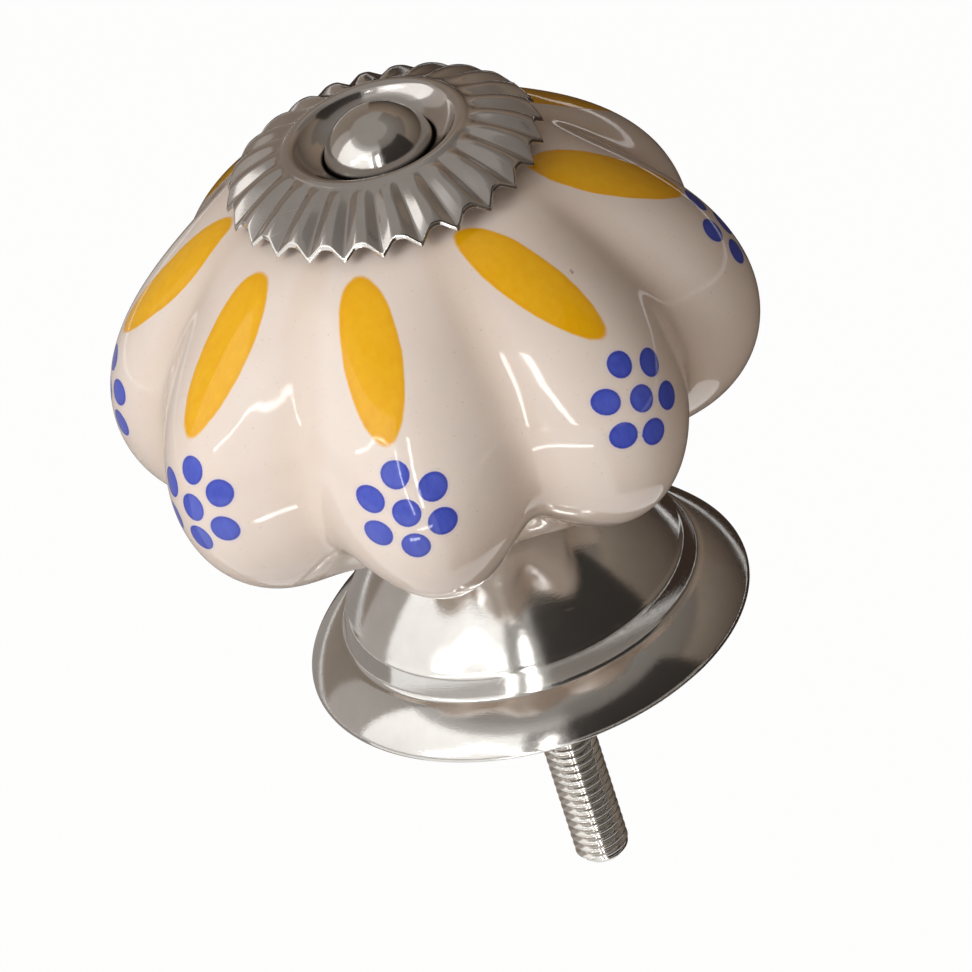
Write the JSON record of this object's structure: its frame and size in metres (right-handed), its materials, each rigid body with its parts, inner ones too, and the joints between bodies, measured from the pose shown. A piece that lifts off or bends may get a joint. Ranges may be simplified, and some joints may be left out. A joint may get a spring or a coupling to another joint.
{
  "type": "cabinet knob",
  "caption": "Lobed glazed ceramic cabinet knob with painted petals and dots, a fluted metal cap, a domed metal backplate and a threaded fixing screw.",
  "frame": {"origin": "centre of the backplate's back plane, which lies on the door", "axes": "+Z along the screw, away from the door and towards the fluted cap"},
  "size_m": [0.0451, 0.045, 0.0657],
  "materials": {
    "glazed_body": "gloss",
    "cap_metal": "polished",
    "screw_metal": "polished",
    "plate_metal": "polished",
    "nut_metal": "satin"
  },
  "bodies": {
    "root": {"knob_body": "glazed_body", "fluted_cap": "cap_metal", "screw": "screw_metal", "backplate": "plate_metal", "clamp_nut": "nut_metal"}
  },
  "joints": []
}
